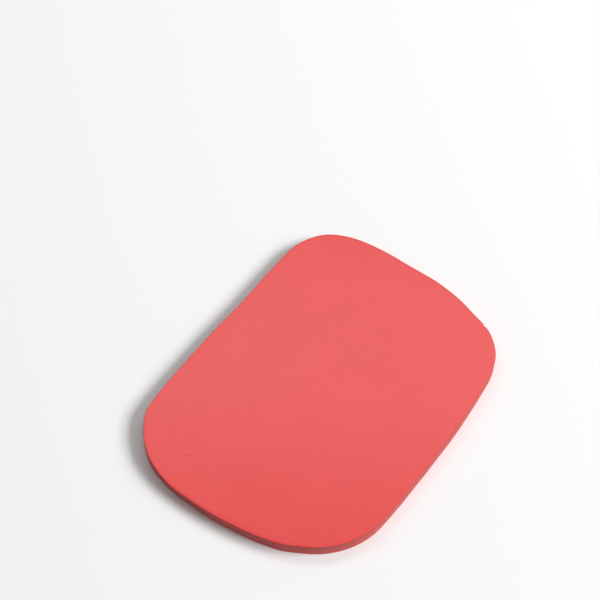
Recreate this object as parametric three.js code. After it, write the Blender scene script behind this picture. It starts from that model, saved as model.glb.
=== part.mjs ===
// A hip pad: one flat plate of soft closed-cell foam, cut with a knife to an outline of eight
// arcs that run smoothly into each other. Its ends are bowed, its right side more than its left.
// Millimetres, +Z up. The origin lies on the surface that the pad rests on, under the middle of
// its bounding box. +Y runs along the pad to its far end, and +X across it to its right side.

import * as THREE from "three";

// Overall size
const padLength = 210;
const padWidth = 156;
const padThickness = 8.5;

// Bow of each edge: how far its middle stands out beyond a chord as long as the pad or as wide
const farEndBow = 16.5;
const nearEndBow = 22;
const leftSideBow = 1.5;
const rightSideBow = 8;

// Both ends reach furthest at this distance to the left of the pad's middle
const crownOffset = 12;

// Corner radii
const farRightCorner = 38;
const farLeftCorner = 35;
const nearLeftCorner = 44;
const nearRightCorner = 47;

// The cut wall: its edges are slightly rounded, and it draws in a little at mid height,
// because the knife squeezes the foam as it goes through
const upperEdgeRound = 0.5;
const lowerEdgeRound = 0.4;
const wallHollow = 0.4;

// A round is limited by what it sits in: a corner by the room up to the highest points of its
// two edges, and an edge round by the thickness
const largestCornerShare = 0.9;
const largestEdgeShare = 0.45;

// Fineness of the facets
const arcTolerance = 0.03;
const edgeRoundSteps = 3;
const wallSteps = 4;

const foamColour = 0xeb6563;
const foamRoughness = 0.85;

const halfLength = padLength / 2;
const halfWidth = padWidth / 2;
const quarterTurn = Math.PI / 2;

function bowRadius(halfChord, bow) {
  return (halfChord ** 2 + bow ** 2) / (2 * bow);
}

// One of the four long arcs. It faces along one axis, and reaches just as far as the pad does.
function longArc(facing, reach, halfChord, bow, sideways) {
  const radius = bowRadius(halfChord, bow);
  const outward = new THREE.Vector2(Math.cos(facing), Math.sin(facing));
  const centre = outward.clone().multiplyScalar(reach - radius).add(sideways);
  return { facing, radius, centre };
}

// The four long arcs, counter-clockwise from the right side
function makeLongArcs() {
  const middle = new THREE.Vector2(0, 0);
  const crown = new THREE.Vector2(-crownOffset, 0);
  return [
    longArc(0, halfWidth, halfLength, rightSideBow, middle),
    longArc(quarterTurn, halfLength, halfWidth, farEndBow, crown),
    longArc(2 * quarterTurn, halfWidth, halfLength, leftSideBow, middle),
    longArc(3 * quarterTurn, halfLength, halfWidth, nearEndBow, crown),
  ];
}

// Centre of the corner circle that touches two neighbouring long arcs from within
function cornerCentre(first, second, radius) {
  const toFirst = first.radius - radius;
  const toSecond = second.radius - radius;
  const between = second.centre.clone().sub(first.centre);
  const apart = between.length();
  const along = between.clone().divideScalar(apart);
  const across = new THREE.Vector2(-along.y, along.x);
  const foot = (toFirst ** 2 - toSecond ** 2 + apart ** 2) / (2 * apart);
  const rise = Math.sqrt(toFirst ** 2 - foot ** 2);
  const base = first.centre.clone().addScaledVector(along, foot);
  const diagonal = first.facing + quarterTurn / 2;
  const outward = new THREE.Vector2(Math.cos(diagonal), Math.sin(diagonal));
  const side = Math.sign(across.dot(outward));
  return base.addScaledVector(across, side * rise);
}

// The largest radius that still leaves the two neighbouring arcs a stretch of their own
function cornerRoom(first, second, quadrant) {
  const acrossRoom = halfWidth + quadrant * crownOffset;
  const narrowest = Math.min(acrossRoom, halfLength, first.radius, second.radius);
  return largestCornerShare * narrowest;
}

function angleFrom(centre, point, near) {
  const angle = Math.atan2(point.y - centre.y, point.x - centre.x);
  const turns = Math.round((near - angle) / (4 * quarterTurn));
  return angle + turns * 4 * quarterTurn;
}

// All eight arcs, counter-clockwise: each long arc in two halves, which meet at its highest
// point so that the facets reach the pad's full size, then the corner after it
function makeOutlineArcs() {
  const longArcs = makeLongArcs();
  const cornerSpecs = [
    { radius: farRightCorner, quadrant: 1 },
    { radius: farLeftCorner, quadrant: -1 },
    { radius: nearLeftCorner, quadrant: -1 },
    { radius: nearRightCorner, quadrant: 1 },
  ];
  const corners = cornerSpecs.map((spec, index) => {
    const first = longArcs[index];
    const second = longArcs[(index + 1) % longArcs.length];
    const radius = Math.min(spec.radius, cornerRoom(first, second, spec.quadrant));
    const centre = cornerCentre(first, second, radius);
    const diagonal = first.facing + quarterTurn / 2;
    const from = angleFrom(first.centre, centre, diagonal);
    const to = angleFrom(second.centre, centre, diagonal);
    return { centre, radius, from, to };
  });
  return longArcs.flatMap((arc, index) => {
    const before = corners[(index + corners.length - 1) % corners.length];
    const after = corners[index];
    const from = angleFrom(arc.centre, before.centre, arc.facing);
    const to = angleFrom(arc.centre, after.centre, arc.facing);
    const { centre, radius, facing } = arc;
    const firstHalf = { centre, radius, from, to: facing };
    const secondHalf = { centre, radius, from: facing, to };
    return [firstHalf, secondHalf, after];
  });
}

// Steps that keep each facet within the tolerance of its arc
function arcSteps(arc) {
  const largestStep = 2 * Math.acos(1 - arcTolerance / arc.radius);
  return Math.max(1, Math.ceil((arc.to - arc.from) / largestStep));
}

// The outline as directions: a point at any inset lies on the same arc with a shorter radius
function makeOutlineSpokes(arcs) {
  return arcs.flatMap((arc) => {
    const steps = arcSteps(arc);
    return Array.from({ length: steps }, (_, step) => {
      const angle = arc.from + ((arc.to - arc.from) * step) / steps;
      const direction = new THREE.Vector2(Math.cos(angle), Math.sin(angle));
      return { centre: arc.centre, radius: arc.radius, direction };
    });
  });
}

// Sections of the pad from the resting face up: how far each is set in, and its height
function makeSections() {
  const lowerRound = Math.min(lowerEdgeRound, largestEdgeShare * padThickness);
  const upperRound = Math.min(upperEdgeRound, largestEdgeShare * padThickness);
  const wallHeight = padThickness - lowerRound - upperRound;
  const sections = [];
  for (let step = 0; step <= edgeRoundSteps; step += 1) {
    const angle = (quarterTurn * step) / edgeRoundSteps;
    const inset = lowerRound * (1 - Math.sin(angle));
    const height = lowerRound * (1 - Math.cos(angle));
    sections.push({ inset, height });
  }
  for (let step = 1; step < wallSteps; step += 1) {
    const share = step / wallSteps;
    const inset = wallHollow * 4 * share * (1 - share);
    const height = lowerRound + wallHeight * share;
    sections.push({ inset, height });
  }
  for (let step = 0; step <= edgeRoundSteps; step += 1) {
    const angle = (quarterTurn * step) / edgeRoundSteps;
    const inset = upperRound * (1 - Math.cos(angle));
    const height = padThickness - upperRound * (1 - Math.sin(angle));
    sections.push({ inset, height });
  }
  return sections;
}

// A closed body through the sections, with a flat cap on each end fanned from the middle
function loftSections(spokes, sections) {
  const positions = [];
  const triangles = [];
  const ringSize = spokes.length;
  for (const { inset, height } of sections) {
    for (const { centre, radius, direction } of spokes) {
      const reach = radius - inset;
      positions.push(centre.x + direction.x * reach, centre.y + direction.y * reach, height);
    }
  }
  const lowerMiddle = sections.length * ringSize;
  const upperMiddle = lowerMiddle + 1;
  positions.push(0, 0, sections[0].height);
  positions.push(0, 0, sections[sections.length - 1].height);
  const upperRing = (sections.length - 1) * ringSize;
  for (let spoke = 0; spoke < ringSize; spoke += 1) {
    const next = (spoke + 1) % ringSize;
    for (let ring = 0; ring < upperRing; ring += ringSize) {
      const above = ring + ringSize;
      triangles.push(ring + spoke, ring + next, above + next);
      triangles.push(ring + spoke, above + next, above + spoke);
    }
    triangles.push(lowerMiddle, next, spoke);
    triangles.push(upperMiddle, upperRing + spoke, upperRing + next);
  }
  const geometry = new THREE.BufferGeometry();
  geometry.setAttribute("position", new THREE.Float32BufferAttribute(positions, 3));
  geometry.setIndex(triangles);
  geometry.computeVertexNormals();
  return geometry;
}

function makeFoamPad() {
  const spokes = makeOutlineSpokes(makeOutlineArcs());
  const material = new THREE.MeshStandardMaterial({
    color: foamColour,
    roughness: foamRoughness,
    metalness: 0,
  });
  const mesh = new THREE.Mesh(loftSections(spokes, makeSections()), material);
  mesh.name = "foam_pad";
  return mesh;
}

const group = new THREE.Group();
group.add(makeFoamPad());

export default group;
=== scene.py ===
"""A foam hip pad lying on a pale floor in soft studio light.

Metres, +Z up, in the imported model's frame: +Y runs along the pad and +X across it.
Points of the outline are complex numbers, with x as the real part and y as the imaginary one.
"""

import cmath
import math
from collections import namedtuple

import bmesh
import bpy
from mathutils import Matrix, Vector, noise


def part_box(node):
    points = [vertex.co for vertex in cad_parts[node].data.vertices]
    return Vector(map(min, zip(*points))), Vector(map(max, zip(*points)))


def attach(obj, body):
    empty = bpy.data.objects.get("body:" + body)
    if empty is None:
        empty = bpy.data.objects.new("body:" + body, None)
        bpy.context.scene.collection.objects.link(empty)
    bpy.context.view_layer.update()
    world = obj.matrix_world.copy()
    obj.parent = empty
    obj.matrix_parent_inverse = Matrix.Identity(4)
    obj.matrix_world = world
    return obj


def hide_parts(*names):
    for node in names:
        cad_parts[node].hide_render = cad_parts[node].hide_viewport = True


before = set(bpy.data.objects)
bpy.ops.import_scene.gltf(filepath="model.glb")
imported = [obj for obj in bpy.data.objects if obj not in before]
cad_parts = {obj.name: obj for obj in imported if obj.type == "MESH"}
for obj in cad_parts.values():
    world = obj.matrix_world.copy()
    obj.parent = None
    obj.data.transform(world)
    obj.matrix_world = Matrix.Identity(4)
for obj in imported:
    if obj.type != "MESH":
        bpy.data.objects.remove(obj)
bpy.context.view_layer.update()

MM = 0.001
QUARTER_TURN = math.pi / 2

# Overall size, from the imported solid
PAD_NODE = "foam_pad"
PAD_LOW, PAD_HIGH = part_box(PAD_NODE)
LENGTH = PAD_HIGH.y - PAD_LOW.y
WIDTH = PAD_HIGH.x - PAD_LOW.x
THICKNESS = PAD_HIGH.z - PAD_LOW.z

# Sizes of the outline and of the cut wall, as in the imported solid
FAR_END_BOW = 16.5 * MM
NEAR_END_BOW = 22 * MM
LEFT_SIDE_BOW = 1.5 * MM
RIGHT_SIDE_BOW = 8 * MM
CROWN_OFFSET = 12 * MM
FAR_RIGHT_CORNER = 38 * MM
FAR_LEFT_CORNER = 35 * MM
NEAR_LEFT_CORNER = 44 * MM
NEAR_RIGHT_CORNER = 47 * MM
UPPER_EDGE_ROUND = 0.5 * MM
LOWER_EDGE_ROUND = 0.4 * MM
WALL_HOLLOW = 0.4 * MM

# The knife didn't run quite true: places where the real outline stands out or falls back. The
# height is that of the wall's foot, and the lean is how much further its upper edge stands out.
Swelling = namedtuple("Swelling", "name x y reach height lean")
SWELLINGS = (
    Swelling("near_left_end_bulge", -33 * MM, -103.5 * MM, 13 * MM, 0.4 * MM, 0),
    Swelling("near_left_lean", -36 * MM, -103 * MM, 30 * MM, 0.35 * MM, 0.6 * MM),
    Swelling("near_end_lean", -4 * MM, -105 * MM, 42 * MM, 0.1 * MM, 0.5 * MM),
    Swelling("near_end_bulge", 32 * MM, -98 * MM, 26 * MM, 1.1 * MM, 0),
    Swelling("near_end_kink", 40 * MM, -95.5 * MM, 11 * MM, 0.45 * MM, 0),
    Swelling("right_side_bulge", 76.5 * MM, -47 * MM, 34 * MM, 0.45 * MM, 0),
    Swelling("right_middle_bulge", 77.7 * MM, 22 * MM, 20 * MM, 0.2 * MM, 0),
    Swelling("far_right_hollow", 75 * MM, 64 * MM, 20 * MM, -0.3 * MM, 0),
    Swelling("far_right_flat", 62 * MM, 88 * MM, 18 * MM, -0.3 * MM, 0),
    Swelling("far_end_hollow", 46 * MM, 96 * MM, 15 * MM, -0.6 * MM, 0),
    Swelling("far_end_bulge", 23 * MM, 102 * MM, 20 * MM, 0.3 * MM, 0),
    Swelling("far_end_flat", -9 * MM, 105 * MM, 21 * MM, -0.85 * MM, 0),
    Swelling("far_left_end_bulge", -42 * MM, 102.5 * MM, 16 * MM, 0.45 * MM, 0),
    Swelling("far_left_bulge", -66 * MM, 92.5 * MM, 13 * MM, 0.45 * MM, 0),
    Swelling("left_side_hollow", -78 * MM, 21 * MM, 29 * MM, -0.75 * MM, 0),
    Swelling("left_side_bulge", -78 * MM, -19 * MM, 20 * MM, 0.2 * MM, 0),
    Swelling("left_side_flat", -77.4 * MM, -61 * MM, 16 * MM, -0.6 * MM, 0),
    Swelling("near_left_bulge", -74 * MM, -76 * MM, 11 * MM, 0.55 * MM, 0),
)

# Mesh: cells across and along the pad, rings between its rim and the grid in its middle
CELLS_ACROSS = 100
CELLS_ALONG = 136
FACE_RINGS = 22
EDGE_STEPS = 5
WALL_STEPS = 10
RINGS_DEPTH = 24 * MM
GRID_CORNER_DEPTH = 30 * MM

# Gentle unevenness of the foam: wavelength and height of each wave
Wave = namedtuple("Wave", "length height")
FACE_WAVES = (
    Wave(60 * MM, 0.10 * MM),
    Wave(22 * MM, 0.05 * MM),
    Wave(7 * MM, 0.015 * MM),
)
CUT_WAVES = (
    Wave(35 * MM, 0.14 * MM),
    Wave(9 * MM, 0.06 * MM),
    Wave(2.5 * MM, 0.03 * MM),
)

# The lower face is pressed smoother, so it has this share of the unevenness. It is where the
# normal points down more steeply than this.
LOWER_FACE_SHARE = 0.3
LOWER_FACE_NORMAL = -0.5

# The wall's waves are drawn out upright by this much, as a knife leaves them
WALL_WAVE_STRETCH = 4

# Each wave after the first reads the noise this much further on
WAVE_SHIFT = Vector((17.3, 5.1, 9.7))

# How fast a surface turns from face to cut wall as its normal leaves the upright
CUT_GAIN = 1.15

# Small flaws of the foam: place, half its length and half its width, the turn of its length from
# +X in degrees, height above the surface, and tint from -1, painted shade, to 1, lighter. The
# lighter tint is freshly torn foam at the nick and a painted highlight on the blister; the crease
# and the open pore carry painted shade.
Flaw = namedtuple("Flaw", "name x y z half_length half_width turn height tint")
FLAWS = (
    Flaw("blister", -35.7 * MM, -82.0 * MM, THICKNESS, 1.6 * MM, 0.9 * MM, 32, 0.22 * MM, 0.55),
    Flaw("crease", -36.6 * MM, -84.0 * MM, THICKNESS, 3.0 * MM, 0.8 * MM, 32, -0.09 * MM, -0.25),
    Flaw("open_pore", -3.3 * MM, 75.2 * MM, THICKNESS, 0.9 * MM, 0.8 * MM, 0, -0.22 * MM, -0.4),
    Flaw("nick", 53.3 * MM, 92.8 * MM, THICKNESS, 1.4 * MM, 1.2 * MM, -40, -0.7 * MM, 1),
)

# Mesh round a flaw: how many times the flaw's own size the refined patch reaches, how many cuts
# each edge in it gets, and the length from which an edge is cut
FLAW_REACH = 3
FLAW_CUTS = 3
SHORTEST_CUT_EDGE = 0.6 * MM

# The photograph's view: angles in degrees, distances in metres, places in pixels of its frame
CAMERA_AZIMUTH = 36.08
CAMERA_ELEVATION = 54.41
CAMERA_DISTANCE = 0.8288
FOCAL_PIXELS = 1400
PAD_CENTRE_PIXEL = (325.2, 386.45)
PICTURE_PIXELS = 600
SENSOR_WIDTH = 36
NEAREST_SEEN = 0.01

# Colours, as linear values
FACE_COLOUR = (0.790, 0.068, 0.065)
FACE_DARK_COLOUR = (0.750, 0.060, 0.057)
CUT_COLOUR = (0.590, 0.092, 0.088)
# The cut wall's dark colour, for its blade marks and open cells and for the painted shade on its
# top
CUT_DARK_AND_TOP_SHADE_COLOUR = (0.325, 0.027, 0.021)
# Lighter tint: freshly torn foam at the nick and a painted highlight on the blister
TORN_AND_HIGHLIGHT_COLOUR = (0.900, 0.280, 0.260)
# Painted shade in the crease and the open pore
SHADED_COLOUR = (0.300, 0.022, 0.020)
FLOOR_COLOUR = (0.90, 0.90, 0.90)
FLOOR_ROUGHNESS = 0.9
WORLD_COLOUR = (1.0, 1.0, 1.0)
WORLD_STRENGTH = 0.28

# Sizes of the foam's patterns, from the broad mottle of a face down to its cells. The wall's
# streaks are drawn out upright.
MOTTLE_SIZE = 40 * MM
BLOTCH_SIZE = 6 * MM
STREAK_SIZE = 1.2 * MM
GRAIN_SIZE = 0.7 * MM
CELL_SIZE = 0.55 * MM
STREAK_SCALE = (1.0, 1.0, 0.2)

# How much of the dark colour each pattern brings in at most
MOTTLE_SHARE = 0.5
BLOTCH_SHARE = 0.3
GRAIN_SHARE = 0.25
STREAK_SHARE = 0.3
CELL_SHARE = 0.5

# The wall's top brings in this much too, as painted shade, fading out down to this share of the
# wall's height
TOP_SHADE_SHARE = 0.65
TOP_SHADE_SHARE_FADES_AT = 0.2

# Range of values that most of a noise pattern lies in, and the narrower one of the speckle
NOISE_RANGE = (0.3, 0.7)
SPECKLE_RANGE = (0.35, 0.65)

# Values of the cut attribute between which the face's colour gives way to the wall's
WALL_COLOUR_RANGE = (0.04, 0.4)

# Gloss and relief of the faces and of the cut wall
FACE_ROUGHNESS = 0.26
CUT_ROUGHNESS = 0.85
ROUGHNESS_SPREAD = 0.03
FACE_RELIEF = 0.012 * MM
CUT_RELIEF = 0.08 * MM

# The floor reaches well beyond every view, and lies a hair below the pad
FLOOR_HALF = 30.0
FLOOR_DROP = 0.02 * MM

# Soft boxes: azimuth and elevation that each shines along, distance, size, and how brightly
# its surface glows next to a world of strength 1
SoftBox = namedtuple("SoftBox", "name azimuth elevation distance width height glow")
SOFT_BOXES = (
    SoftBox("key", CAMERA_AZIMUTH + 80, 35.5, 5.0, 2.8, 1.8, 17.4),
    SoftBox("back_panel", CAMERA_AZIMUTH + 175, 56, 1.5, 2.1, 0.45, 1.9),
)

Arc = namedtuple("Arc", "centre radius start end")
LongArc = namedtuple("LongArc", "facing radius centre")
Spoke = namedtuple("Spoke", "centre radius direction swell lean")


def unit(angle):
    return cmath.exp(1j * angle)


def long_arc(facing, reach, half_chord, bow, sideways):
    """One of the four long arcs. It faces along an axis and reaches just as far as the pad."""
    radius = (half_chord**2 + bow**2) / (2 * bow)
    return LongArc(facing, radius, unit(facing) * (reach - radius) + sideways)


def corner_centre(first, second, radius):
    """Centre of the circle that touches two neighbouring long arcs from within."""
    to_first = first.radius - radius
    to_second = second.radius - radius
    between = second.centre - first.centre
    apart = abs(between)
    foot = (to_first**2 - to_second**2 + apart**2) / (2 * apart)
    rise = math.sqrt(to_first**2 - foot**2)
    outward = unit(first.facing + QUARTER_TURN / 2)
    choices = [first.centre + between / apart * (foot + side * 1j * rise) for side in (-1, 1)]
    return max(choices, key=lambda centre: (centre * outward.conjugate()).real)


def angle_near(vector, expected):
    """The angle of a vector, in the turn that the expected angle is in."""
    return expected + cmath.phase(vector * unit(-expected))


def outline_arcs():
    """The four long arcs, counter-clockwise from the right side, and the corner after each."""
    half_length, half_width = LENGTH / 2, WIDTH / 2
    long_arcs = [
        long_arc(0, half_width, half_length, RIGHT_SIDE_BOW, 0),
        long_arc(QUARTER_TURN, half_length, half_width, FAR_END_BOW, -CROWN_OFFSET),
        long_arc(2 * QUARTER_TURN, half_width, half_length, LEFT_SIDE_BOW, 0),
        long_arc(3 * QUARTER_TURN, half_length, half_width, NEAR_END_BOW, -CROWN_OFFSET),
    ]
    radii = (FAR_RIGHT_CORNER, FAR_LEFT_CORNER, NEAR_LEFT_CORNER, NEAR_RIGHT_CORNER)
    corners = []
    for index, radius in enumerate(radii):
        first = long_arcs[index]
        second = long_arcs[(index + 1) % 4]
        centre = corner_centre(first, second, radius)
        diagonal = first.facing + QUARTER_TURN / 2
        start = angle_near(centre - first.centre, diagonal)
        end = angle_near(centre - second.centre, diagonal)
        corners.append(Arc(centre, radius, start, end))
    return long_arcs, corners


def outline_quarters(long_arcs, corners):
    """The outline in four runs of three arcs, each from the middle of a corner to the next."""
    quarters = []
    for index, arc in enumerate(long_arcs):
        before = corners[index - 1]
        after = corners[index]
        # The corner before the first arc is the last one, whose angles lie a full turn on
        turn = 2 * math.pi if index == 0 else 0
        quarters.append(
            [
                Arc(before.centre, before.radius, middle(before) - turn, before.end - turn),
                Arc(arc.centre, arc.radius, before.end - turn, after.start),
                Arc(after.centre, after.radius, after.start, middle(after)),
            ]
        )
    return quarters


def middle(arc):
    return (arc.start + arc.end) / 2


def swell_at(point):
    """How far the wall's foot stands out at a point of the outline, and its lean there."""
    swell = lean = 0
    for swelling in SWELLINGS:
        away = abs(point - complex(swelling.x, swelling.y)) / swelling.reach
        swell += swelling.height * fading(away)
        lean += swelling.lean * fading(away)
    return swell, lean


def fading(away):
    """A smooth hump: 1 in its middle and 0 at a distance of 1 and beyond."""
    return (1 - away * away) ** 2 if away < 1 else 0


def even_spokes(arcs, count):
    """Spokes at even steps along a run of arcs, from its start up to the last step but one."""
    lengths = [arc.radius * (arc.end - arc.start) for arc in arcs]
    step = sum(lengths) / count
    spokes = []
    for index in range(count):
        along = index * step
        for arc, length in zip(arcs, lengths):
            if along <= length:
                break
            along -= length
        direction = unit(arc.start + along / arc.radius)
        swell, lean = swell_at(arc.centre + direction * arc.radius)
        spokes.append(Spoke(arc.centre, arc.radius, direction, swell, lean))
    return spokes


def outline_spokes(long_arcs, corners):
    right, far, left, near = outline_quarters(long_arcs, corners)
    return (
        even_spokes(right, CELLS_ALONG)
        + even_spokes(far, CELLS_ACROSS)
        + even_spokes(left, CELLS_ALONG)
        + even_spokes(near, CELLS_ACROSS)
    )


def ring_at(spokes, inset, height):
    """The outline at a height, set in by a distance. Its swellings die away toward the middle."""
    swell_share = max(0, 1 - inset / RINGS_DEPTH)
    level = height / THICKNESS
    points = []
    for spoke in spokes:
        swell = (spoke.swell + spoke.lean * level) * swell_share
        points.append(spoke.centre + spoke.direction * (spoke.radius - inset + swell))
    return points


def wall_sections():
    """Inset and height of each ring, from the edge of the lower face to that of the upper."""
    wall_height = THICKNESS - LOWER_EDGE_ROUND - UPPER_EDGE_ROUND
    sections = []
    for step in range(EDGE_STEPS + 1):
        angle = QUARTER_TURN * step / EDGE_STEPS
        inset = LOWER_EDGE_ROUND * (1 - math.sin(angle))
        sections.append((inset, LOWER_EDGE_ROUND * (1 - math.cos(angle))))
    for step in range(1, WALL_STEPS):
        share = step / WALL_STEPS
        inset = WALL_HOLLOW * 4 * share * (1 - share)
        sections.append((inset, LOWER_EDGE_ROUND + wall_height * share))
    for step in range(EDGE_STEPS + 1):
        angle = QUARTER_TURN * step / EDGE_STEPS
        inset = UPPER_EDGE_ROUND * (1 - math.cos(angle))
        sections.append((inset, THICKNESS - UPPER_EDGE_ROUND * (1 - math.sin(angle))))
    return sections


def grid_points(corners):
    """The grid in the middle of a face, by column and row, between four points at its corners."""
    far_right, far_left, near_left, near_right = [
        corner.centre + unit(middle(corner)) * (corner.radius - GRID_CORNER_DEPTH)
        for corner in corners
    ]
    points = {}
    for column in range(CELLS_ACROSS + 1):
        across = column / CELLS_ACROSS
        near = near_left + (near_right - near_left) * across
        far = far_left + (far_right - far_left) * across
        for row in range(CELLS_ALONG + 1):
            points[column, row] = near + (far - near) * row / CELLS_ALONG
    return points


def grid_border():
    """Column and row of the plain grid's border, in the order of the spokes."""
    right = [(CELLS_ACROSS, row) for row in range(CELLS_ALONG)]
    far = [(column, CELLS_ALONG) for column in range(CELLS_ACROSS, 0, -1)]
    left = [(0, row) for row in range(CELLS_ALONG, 0, -1)]
    near = [(column, 0) for column in range(CELLS_ACROSS)]
    return right + far + left + near


def add_ring(mesh, points, height):
    return [mesh.verts.new((point.real, point.imag, height)) for point in points]


def join_rings(mesh, lower, upper):
    """Faces between two rings. They face outward where upper lies above or inside lower."""
    count = len(lower)
    for index in range(count):
        after = (index + 1) % count
        mesh.faces.new((lower[index], lower[after], upper[after], upper[index]))


def add_face(mesh, spokes, points, rim, rim_inset, height, upper):
    """One flat face of the pad: rings in from its rim, then a grid in its middle."""
    border = grid_border()
    last_ring = rim
    # Each ring takes on more of the grid's border than the one before
    for step in range(1, FACE_RINGS + 1):
        share = step / FACE_RINGS
        blend = share * share * (3 - 2 * share)
        outline = ring_at(spokes, rim_inset + RINGS_DEPTH * share, height)
        blended = [
            point * (1 - blend) + points[place] * blend for point, place in zip(outline, border)
        ]
        ring = add_ring(mesh, blended, height)
        join_rings(mesh, *((last_ring, ring) if upper else (ring, last_ring)))
        last_ring = ring
    add_grid(mesh, points, dict(zip(border, last_ring)), height, upper)


def add_grid(mesh, points, grid, height, upper):
    """The cells in the middle of a face. The grid's border is there already."""
    for place, point in points.items():
        if place not in grid:
            grid[place] = mesh.verts.new((point.real, point.imag, height))
    for column in range(CELLS_ACROSS):
        for row in range(CELLS_ALONG):
            cell = [(column, row), (column + 1, row), (column + 1, row + 1), (column, row + 1)]
            corners = [grid[place] for place in cell]
            mesh.faces.new(corners if upper else corners[::-1])


def refine_flaws(mesh):
    """Smaller cells round each flaw, so that its form is real."""
    for flaw in FLAWS:
        place = Vector((flaw.x, flaw.y, flaw.z))
        reach = FLAW_REACH * max(flaw.half_width, flaw.half_length / 2)
        near = [face for face in mesh.faces if (face.calc_center_median() - place).length < reach]
        edges = list({edge for face in near for edge in face.edges})
        long_edges = [edge for edge in edges if edge.calc_length() > SHORTEST_CUT_EDGE]
        bmesh.ops.subdivide_edges(mesh, edges=long_edges, cuts=FLAW_CUTS, use_grid_fill=True)
    bmesh.ops.triangulate(mesh, faces=[face for face in mesh.faces if len(face.verts) > 4])


def wave_height(place, waves, stretch=1):
    """Sum of smooth noise waves at a place. A stretch above 1 draws them out along Z."""
    total = 0
    for index, wave in enumerate(waves):
        spot = Vector((place.x, place.y, place.z / stretch)) / wave.length
        total += wave.height * noise.noise(spot + WAVE_SHIFT * (index + 1))
    return total


def flaw_shape(flaw, place):
    """From 1 at the flaw's middle to 0 at its rim and beyond."""
    away = place - Vector((flaw.x, flaw.y, flaw.z))
    turn = math.radians(flaw.turn)
    along = away.x * math.cos(turn) + away.y * math.sin(turn)
    across = away.y * math.cos(turn) - away.x * math.sin(turn)
    return fading(
        math.hypot(along / flaw.half_length, across / flaw.half_width, away.z / flaw.half_width)
    )


def shape_surface(mesh):
    """Moves each vertex along its normal by the foam's unevenness and its flaws."""
    mesh.normal_update()
    cut_layer = mesh.verts.layers.float.new("cut")
    flaw_layer = mesh.verts.layers.float.new("flaw")
    moves = []
    for vert in mesh.verts:
        place, normal = vert.co.copy(), vert.normal.copy()
        cut = min(1, max(0, CUT_GAIN * (1 - abs(normal.z))))
        face_share = LOWER_FACE_SHARE if normal.z < LOWER_FACE_NORMAL else 1
        rise = (1 - cut) * face_share * wave_height(place, FACE_WAVES)
        rise += cut * wave_height(place, CUT_WAVES, WALL_WAVE_STRETCH)
        tint = 0
        for flaw in FLAWS:
            shape = flaw_shape(flaw, place)
            rise += flaw.height * shape
            tint += flaw.tint * shape
        vert[cut_layer] = cut
        vert[flaw_layer] = max(-1, min(1, tint))
        moves.append((vert, place + normal * rise))
    # Nothing sinks below the surface that the pad rests on
    for vert, place in moves:
        vert.co = (place.x, place.y, max(0, place.z))


def make_pad():
    long_arcs, corners = outline_arcs()
    spokes = outline_spokes(long_arcs, corners)
    points = grid_points(corners)
    sections = wall_sections()
    mesh = bmesh.new()
    rings = [add_ring(mesh, ring_at(spokes, inset, height), height) for inset, height in sections]
    for lower, upper in zip(rings, rings[1:]):
        join_rings(mesh, lower, upper)
    add_face(mesh, spokes, points, rings[-1], sections[-1][0], THICKNESS, upper=True)
    add_face(mesh, spokes, points, rings[0], sections[0][0], 0, upper=False)
    refine_flaws(mesh)
    shape_surface(mesh)
    for face in mesh.faces:
        face.smooth = True
    data = bpy.data.meshes.new("dressed_pad")
    mesh.to_mesh(data)
    mesh.free()
    pad = bpy.data.objects.new("dressed_pad", data)
    bpy.context.scene.collection.objects.link(pad)
    return pad


class Nodes:
    """Short calls that add shader nodes to one material and join them."""

    def __init__(self, name):
        self.material = bpy.data.materials.new(name)
        self.material.use_nodes = True
        self.tree = self.material.node_tree
        self.tree.nodes.clear()

    def add(self, kind, values=(), **settings):
        node = self.tree.nodes.new(kind)
        for key, value in settings.items():
            setattr(node, key, value)
        for socket, value in dict(values).items():
            self.put(node.inputs[socket], value)
        return node

    def put(self, socket, value):
        if isinstance(value, bpy.types.NodeSocket):
            self.tree.links.new(value, socket)
        elif isinstance(value, tuple) and socket.type == "RGBA":
            socket.default_value = (*value, 1)
        else:
            socket.default_value = value

    def noise(self, place, size, detail=2):
        values = {"Vector": place, "Scale": 1 / size, "Detail": detail}
        return self.add("ShaderNodeTexNoise", values).outputs["Fac"]

    def cells(self, place, size):
        values = {"Vector": place, "Scale": 1 / size}
        return self.add("ShaderNodeTexVoronoi", values).outputs["Distance"]

    def attribute(self, name):
        return self.add("ShaderNodeAttribute", attribute_name=name).outputs["Fac"]

    def remap(self, value, low, high, to_low=0, to_high=1):
        values = {"Value": value, "From Min": low, "From Max": high}
        values.update({"To Min": to_low, "To Max": to_high})
        return self.add("ShaderNodeMapRange", values).outputs["Result"]

    def mix(self, share, first, second):
        node = self.add("ShaderNodeMix", data_type="RGBA")
        self.put(node.inputs["Factor"], share)
        self.put(node.inputs["A"], first)
        self.put(node.inputs["B"], second)
        return node.outputs["Result"]

    def maths(self, operation, first, second):
        node = self.add("ShaderNodeMath", operation=operation)
        self.put(node.inputs[0], first)
        self.put(node.inputs[1], second)
        return node.outputs["Value"]


def face_colour(nodes, place, grain):
    """A broad and a small mottle with a fine speckle."""
    mottle = nodes.remap(nodes.noise(place, MOTTLE_SIZE), *NOISE_RANGE, 0, MOTTLE_SHARE)
    blotches = nodes.remap(nodes.noise(place, BLOTCH_SIZE, 3), *NOISE_RANGE, 0, BLOTCH_SHARE)
    speckle = nodes.remap(grain, *SPECKLE_RANGE, 0, GRAIN_SHARE)
    share = nodes.maths("ADD", nodes.maths("ADD", mottle, blotches), speckle)
    return nodes.mix(share, FACE_COLOUR, FACE_DARK_COLOUR)


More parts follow.
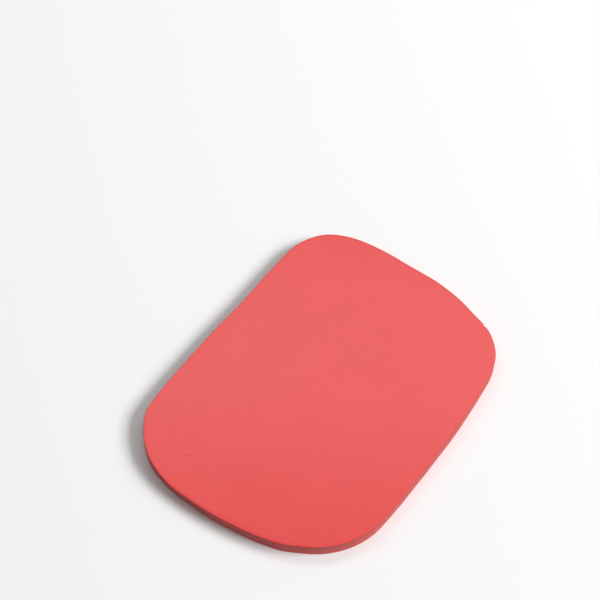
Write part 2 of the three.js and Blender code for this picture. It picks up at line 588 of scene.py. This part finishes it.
def wall_colour(nodes, place, cells):
    """Upright blade marks and dark open cells, and painted shade that darkens the wall toward its
    top.
    """
    stretched = nodes.add("ShaderNodeMapping", {"Vector": place, "Scale": STREAK_SCALE})
    streaks = nodes.noise(stretched.outputs["Vector"], STREAK_SIZE, 3)
    height = nodes.add("ShaderNodeSeparateXYZ", {"Vector": place}).outputs["Z"]
    # Painted shade: darker toward the wall's top, fading out lower down
    painted_top_shade = nodes.remap(height, TOP_SHADE_SHARE_FADES_AT * THICKNESS, THICKNESS, 0, TOP_SHADE_SHARE)
    open_cells = nodes.remap(cells, 0.1, 0.7, CELL_SHARE, 0)
    marks = nodes.remap(streaks, *NOISE_RANGE, 0, STREAK_SHARE)
    share = nodes.maths("ADD", nodes.maths("ADD", marks, painted_top_shade), open_cells)
    return nodes.mix(share, CUT_COLOUR, CUT_DARK_AND_TOP_SHADE_COLOUR)


def foam_roughness(nodes, grain, cut):
    """Soft gloss on the faces and hardly any on the cut wall, uneven with the grain."""
    base = nodes.remap(cut, 0, WALL_COLOUR_RANGE[1], FACE_ROUGHNESS, CUT_ROUGHNESS)
    uneven = nodes.remap(grain, *NOISE_RANGE, -ROUGHNESS_SPREAD, ROUGHNESS_SPREAD)
    return nodes.maths("ADD", base, uneven)


def foam_relief(nodes, grain, cells, cut):
    """Grain and the round walls of the cells, deeper on the cut wall."""
    pores = nodes.maths("MULTIPLY", nodes.remap(cells, 0, 0.45), nodes.remap(cut, 0, 1, 0.25, 1))
    relief = nodes.maths("ADD", nodes.maths("MULTIPLY", grain, 0.5), pores)
    depth = nodes.remap(cut, 0, 1, FACE_RELIEF, CUT_RELIEF)
    bump = nodes.add("ShaderNodeBump", {"Height": relief, "Strength": 0.5, "Distance": depth})
    return bump.outputs["Normal"]


def foam_material():
    """Closed-cell foam: fine grain on its faces, open cells and blade marks on its cut wall."""
    nodes = Nodes("foam")
    place = nodes.add("ShaderNodeTexCoord").outputs["Object"]
    cut = nodes.attribute("cut")
    flaw = nodes.attribute("flaw")
    grain = nodes.noise(place, GRAIN_SIZE)
    cells = nodes.cells(place, CELL_SIZE)
    face = face_colour(nodes, place, grain)
    wall = wall_colour(nodes, place, cells)
    surface = nodes.mix(nodes.remap(cut, *WALL_COLOUR_RANGE), face, wall)
    # Lighter where the tint is above 0: freshly torn foam at the nick, a painted highlight on the
    # blister
    surface = nodes.mix(nodes.remap(flaw, 0, 1), surface, TORN_AND_HIGHLIGHT_COLOUR)
    # Painted shade where the tint is below 0, in the crease and the open pore
    surface = nodes.mix(nodes.remap(flaw, 0, -1), surface, SHADED_COLOUR)
    shader = nodes.add(
        "ShaderNodeBsdfPrincipled",
        {
            "Base Color": surface,
            "Roughness": foam_roughness(nodes, grain, cut),
            "Normal": foam_relief(nodes, grain, cells, cut),
            "IOR": 1.5,
            "Specular IOR Level": 0.5,
            "Sheen Weight": 0.08,
            "Sheen Roughness": 0.5,
        },
    )
    nodes.add("ShaderNodeOutputMaterial", {"Surface": shader.outputs["BSDF"]})
    return nodes.material


def floor_material():
    nodes = Nodes("pale_floor")
    shader = nodes.add(
        "ShaderNodeBsdfPrincipled",
        {"Base Color": FLOOR_COLOUR, "Roughness": FLOOR_ROUGHNESS, "Specular IOR Level": 0.2},
    )
    nodes.add("ShaderNodeOutputMaterial", {"Surface": shader.outputs["BSDF"]})
    return nodes.material


def make_floor():
    data = bpy.data.meshes.new("floor")
    signs = ((-1, -1), (1, -1), (1, 1), (-1, 1))
    corners = [(FLOOR_HALF * x_sign, FLOOR_HALF * y_sign, -FLOOR_DROP) for x_sign, y_sign in signs]
    data.from_pydata(corners, [], [(0, 1, 2, 3)])
    floor = bpy.data.objects.new("floor", data)
    data.materials.append(floor_material())
    bpy.context.scene.collection.objects.link(floor)


def looking(azimuth, elevation):
    """Forward, right and up of a view. Azimuth 0 looks along +Y and 90 along -X."""
    turn, tilt = math.radians(azimuth), math.radians(elevation)
    level = Vector((-math.sin(turn), math.cos(turn), 0))
    right = Vector((math.cos(turn), math.sin(turn), 0))
    forward = level * math.cos(tilt) - Vector((0, 0, math.sin(tilt)))
    up = level * math.sin(tilt) + Vector((0, 0, math.cos(tilt)))
    return forward, right, up


def turned(right, up, forward):
    """The rotation of a camera or a light that looks along forward."""
    return Matrix((right, up, -forward)).transposed().to_4x4()


def make_camera():
    forward, right, up = looking(CAMERA_AZIMUTH, CAMERA_ELEVATION)
    centre = PICTURE_PIXELS / 2
    across = (PAD_CENTRE_PIXEL[0] - centre) / FOCAL_PIXELS
    down = (PAD_CENTRE_PIXEL[1] - centre) / FOCAL_PIXELS
    sight = (forward + right * across - up * down).normalized()
    target = Vector((0, 0, THICKNESS))
    data = bpy.data.cameras.new("camera")
    data.sensor_width = SENSOR_WIDTH
    data.lens = SENSOR_WIDTH * FOCAL_PIXELS / PICTURE_PIXELS
    data.clip_start = NEAREST_SEEN
    camera = bpy.data.objects.new("camera", data)
    place = Matrix.Translation(target - sight * CAMERA_DISTANCE)
    camera.matrix_world = place @ turned(right, up, forward)
    bpy.context.scene.collection.objects.link(camera)
    bpy.context.scene.camera = camera


def make_lights():
    for box in SOFT_BOXES:
        forward, right, up = looking(box.azimuth, box.elevation)
        data = bpy.data.lights.new(box.name, "AREA")
        data.shape = "RECTANGLE"
        data.size = box.width
        data.size_y = box.height
        data.energy = box.glow * math.pi * box.width * box.height
        light = bpy.data.objects.new(box.name, data)
        place = Matrix.Translation(-forward * box.distance)
        light.matrix_world = place @ turned(right, up, forward)
        bpy.context.scene.collection.objects.link(light)
    world = bpy.data.worlds.new("studio")
    world.use_nodes = True
    background = world.node_tree.nodes["Background"]
    background.inputs["Color"].default_value = (*WORLD_COLOUR, 1)
    background.inputs["Strength"].default_value = WORLD_STRENGTH
    bpy.context.scene.world = world


def main():
    pad = make_pad()
    pad.data.materials.append(foam_material())
    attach(pad, "root")
    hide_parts(PAD_NODE)
    make_floor()
    make_camera()
    make_lights()
    bpy.context.scene.view_settings.view_transform = "Standard"
    bpy.context.scene.view_settings.look = "None"


main()
